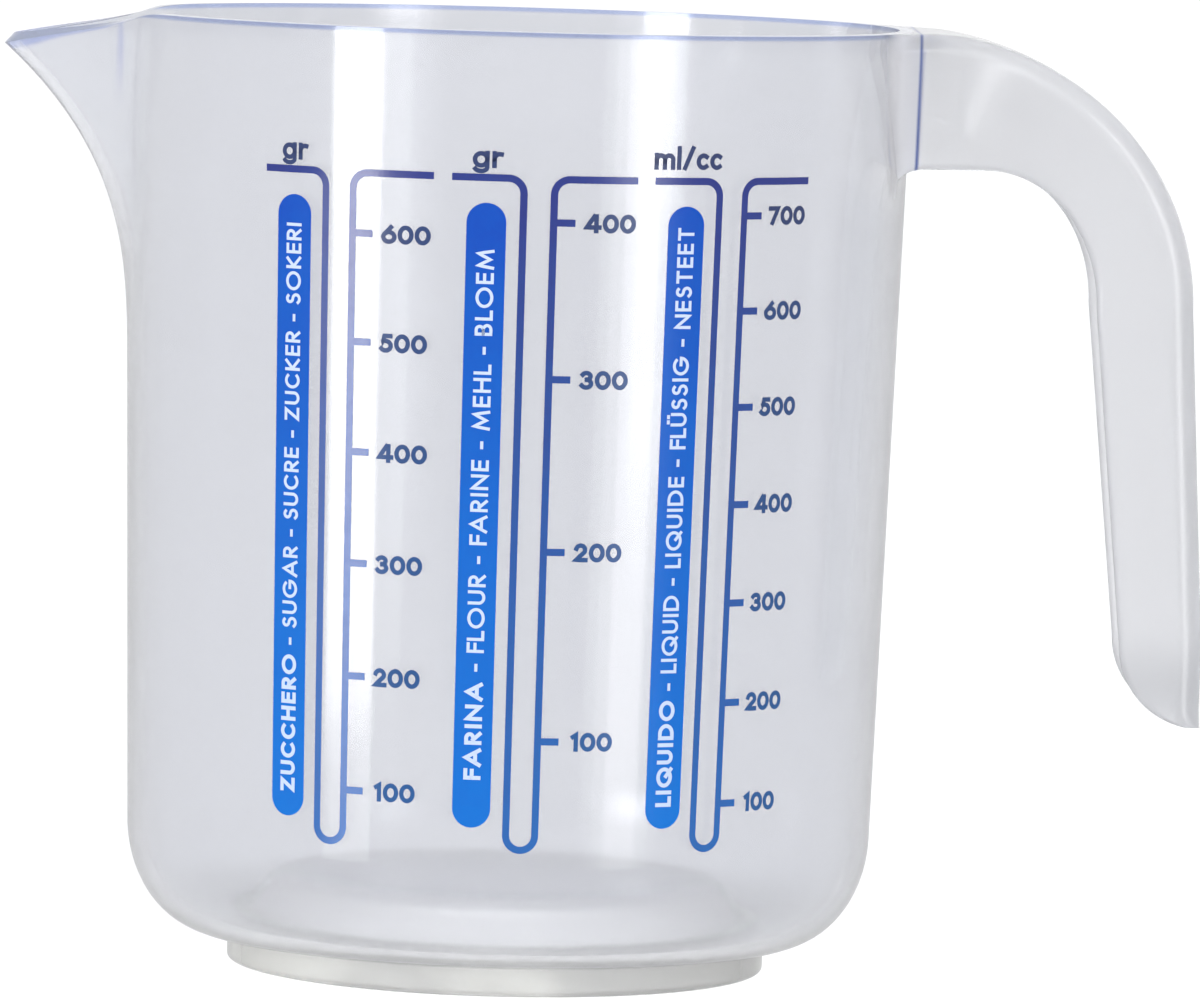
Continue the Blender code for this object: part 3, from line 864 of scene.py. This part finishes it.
def letter_width(letter, weight, gap):
    """Room that a letter takes in its line, in capital heights, with the gap after it."""
    if letter == " ":
        return SPACE
    return GLYPHS[letter][0] + weight + gap - CLOSER.get(letter, 0.0)


def words_width(words, weights, gap):
    """Length of a line of words, in capital heights."""
    return sum(letter_width(letter, weight, gap)
               for word, weight in zip(words, weights) for letter in word) - gap


def draw_words(ink, words, weights, gap, size, stretch, place):
    """Adds words, one after the other, each with its own weight of stroke. place maps (along, above) flat."""
    along = 0.0
    for word, weight in zip(words, weights):
        for letter in word:
            if letter != " ":
                width, strokes = GLYPHS[letter]
                for stroke in strokes:
                    path = [place((along + (weight / 2 + x * width) * size) * stretch,
                                  (weight / 2 + y * (1 - weight)) * size) for x, y in stroke]
                    draw_line(ink, path, weight * size, weight * size / 2)
            along += letter_width(letter, weight, gap) * size


NUMBER_SIZE = 2.5 * MM
NUMBER_START = 4.0 * MM
ONE_INDENT = 0.5 * MM
NUMBER_LENGTH = 6.65 * MM
NUMBER_WEIGHT = 0.24
NUMBER_GAP = 0.07
UNIT_SIZE = 3.0 * MM
UNIT_WEIGHT = 0.20
UNITS = {"sugar": ("gr", 110.85 * MM, 4.0 * MM), "flour": ("gr", 110.85 * MM, 4.0 * MM),
         "liquid": ("ml/cc", 111.1 * MM, 9.6 * MM)}

number_ink = printed_ink("number_ink", 0.4, (0.018, 0.10, 0.30), (0.030, 0.045, 0.13))
for scale_name, scale in SCALES.items():
    scale_turn = PRINT_TURN + SCALE_TURN * scale["place"]
    lettering = bmesh.new()
    stretch = NUMBER_LENGTH / NUMBER_SIZE / words_width(["000"], [NUMBER_WEIGHT], NUMBER_GAP)
    for i, height in enumerate(mark_heights(scale)):
        number = str(100 * (i + 1))
        start = TUBE_WIDTH / 2 + NUMBER_START
        foot = height - NUMBER_SIZE / 2
        if number[0] == "1":
            start += ONE_INDENT
        draw_words(lettering, [number], [NUMBER_WEIGHT], NUMBER_GAP, NUMBER_SIZE, stretch,
                   lambda along, above: (start + along, foot + above))
    unit, foot, length = UNITS[scale_name]
    stretch = length / UNIT_SIZE / words_width([unit], [UNIT_WEIGHT], NUMBER_GAP)
    start = -BAND_OFFSET - length / 2
    draw_words(lettering, [unit], [UNIT_WEIGHT], NUMBER_GAP, UNIT_SIZE, stretch,
               lambda along, above: (start + along, foot + above))
    wrapped(scale_name + "_numbers", lettering, scale_turn, INK_LIFT, number_ink, "blue_ink")


NAME_SIZE = 2.3 * MM
NAMES = {
    "sugar": (["ZUCCHERO", " - SUGAR - SUCRE - ZUCKER - SOKERI"], 75.1 * MM, 3.2 * MM),
    "flour": (["FARINA", " - FLOUR - FARINE - MEHL - BLOEM"], 69.7 * MM, 6.3 * MM),
    "liquid": (["LIQUIDO", " - LIQUID - LIQUIDE - FLÜSSIG - NESTEET"], 76.4 * MM, 2.9 * MM),
}
NAME_WEIGHTS = (0.225, 0.175)
NAME_GAP = 0.15

white_ink = printed_ink("white_ink", 0.4, (0.55, 0.66, 0.86), (0.58, 0.67, 0.86))
for scale_name, scale in SCALES.items():
    band_turn = PRINT_TURN + SCALE_TURN * scale["place"] - BAND_OFFSET / PRINT_RADIUS
    words, length, foot = NAMES[scale_name]
    lettering = bmesh.new()
    stretch = length / NAME_SIZE / words_width(words, NAME_WEIGHTS, NAME_GAP)
    draw_words(lettering, words, NAME_WEIGHTS, NAME_GAP, NAME_SIZE, stretch,
               lambda along, above: (NAME_SIZE / 2 - above, BAND_FOOT + foot + along))
    wrapped(scale_name + "_names", lettering, band_turn, INK_LIFT + 1.5 * INK_THICKNESS, white_ink,
            "clear_plastic")


# ---------------------------------------------------------------- stage, light and camera
# A wide pale floor, soft light from all round, and tall soft boxes on both sides of the camera. Each box is
# a few panels behind one another, so that its reflection fades towards its edges.

stage_material, floor_shader, floor_place = new_material("pale_floor")
link(noise(floor_place, Scale=3.0, Detail=2.0) * 0.02 + 0.55, floor_shader.inputs["Roughness"])
floor_shader.inputs["Base Color"].default_value = (0.94, 0.94, 0.94, 1.0)
floor_shader.inputs["Specular IOR Level"].default_value = 0.0
floor_mesh = bmesh.new()
bmesh.ops.create_circle(floor_mesh, cap_ends=True, segments=96, radius=9.0)
floor_data = bpy.data.meshes.new("floor")
floor_mesh.to_mesh(floor_data)
floor_mesh.free()
floor_data.materials.append(stage_material)
floor = bpy.data.objects.new("floor", floor_data)
floor.location.z = -0.02 * MM
floor.visible_glossy = False
bpy.context.scene.collection.objects.link(floor)

world = bpy.data.worlds.new("studio")
bpy.context.scene.world = world
world.use_nodes = True
sky = world.node_tree
direction = Value(sky, sky.nodes.new("ShaderNodeTexCoord").outputs["Generated"])
split = direction.node("ShaderNodeSeparateXYZ", Vector=direction)
up = direction.out(split, "Z")
ramp = direction.node("ShaderNodeValToRGB", {"stops": [
    (0.0, (0.62, 0.62, 0.63)), (0.485, (0.66, 0.66, 0.67)), (0.5, (1.0, 1.0, 1.0)),
    (0.56, (0.95, 0.95, 0.96)), (0.7, (0.62, 0.63, 0.65)), (1.0, (0.7, 0.7, 0.72))]}, Fac=up * 0.5 + 0.5)
link(direction.out(ramp), sky.nodes["Background"].inputs["Color"])
sky.nodes["Background"].inputs["Strength"].default_value = 0.97


def soft_box(name, azimuth, distance, width, height, centre_z, radiance):
    """A tall panel that faces the jug, at an angle from the front towards the handle."""
    light = bpy.data.lights.new(name, "AREA")
    light.shape = "RECTANGLE"
    light.size = width
    light.size_y = height
    light.energy = radiance * width * height * math.pi
    box = bpy.data.objects.new(name, light)
    turn = math.radians(azimuth)
    box.location = (AXIS_X + distance * math.sin(turn), -distance * math.cos(turn), centre_z)
    aim = Vector((AXIS_X, 0.0, centre_z)) - Vector(box.location)
    box.rotation_mode = "QUATERNION"
    box.rotation_quaternion = aim.to_track_quat("-Z", "Y")
    bpy.context.scene.collection.objects.link(box)


# Name, azimuth in degrees, distance, width, height, height of the centre, and radiance.
SOFT_BOXES = (
    ("box_right_middle", 36.6, 1.60, 0.28, 1.2, 0.35, 1.6),
    ("box_right_edge", 36.6, 1.61, 0.50, 1.2, 0.35, 1.0),
    ("box_right_fade", 36.6, 1.62, 0.70, 1.2, 0.35, 0.7),
    ("box_left_middle", -47.0, 1.60, 0.42, 0.8, 0.20, 7.0),
    ("box_left_fade", -43.0, 1.62, 0.70, 0.8, 0.20, 0.8),
    ("box_left_foot", -47.0, 1.61, 0.42, 0.06, -0.23, 1.6),
)
for soft_box_row in SOFT_BOXES:
    soft_box(*soft_box_row)
sun = bpy.data.lights.new("overhead", "SUN")
sun.energy = 1.5
sun.angle = math.radians(30)
sun.use_shadow = False
overhead = bpy.data.objects.new("overhead", sun)
overhead.visible_glossy = False
bpy.context.scene.collection.objects.link(overhead)

CAMERA_LENS = 287.8
CAMERA_PLACE = (AXIS_X - 4.358 * MM, -1.3, 170.25 * MM)
CAMERA_TURNS = (4.692, 0.747, 1.666)

camera_data = bpy.data.cameras.new("camera")
camera_data.lens = CAMERA_LENS
camera_data.sensor_width = 36.0
camera_data.clip_end = 60.0
camera = bpy.data.objects.new("camera", camera_data)
pitch, yaw, roll = (math.radians(turn) for turn in CAMERA_TURNS)
forward = Vector((math.sin(yaw) * math.cos(pitch), math.cos(yaw) * math.cos(pitch), -math.sin(pitch)))
level_right = forward.cross(Vector((0.0, 0.0, 1.0))).normalized()
level_up = level_right.cross(forward)
right = level_right * math.cos(roll) + level_up * math.sin(roll)
upward = level_up * math.cos(roll) - level_right * math.sin(roll)
turned = Matrix((right, upward, -forward)).transposed().to_4x4()
camera.matrix_world = Matrix.Translation(CAMERA_PLACE) @ turned
bpy.context.scene.collection.objects.link(camera)
bpy.context.scene.camera = camera
bpy.context.scene.view_settings.view_transform = "Standard"
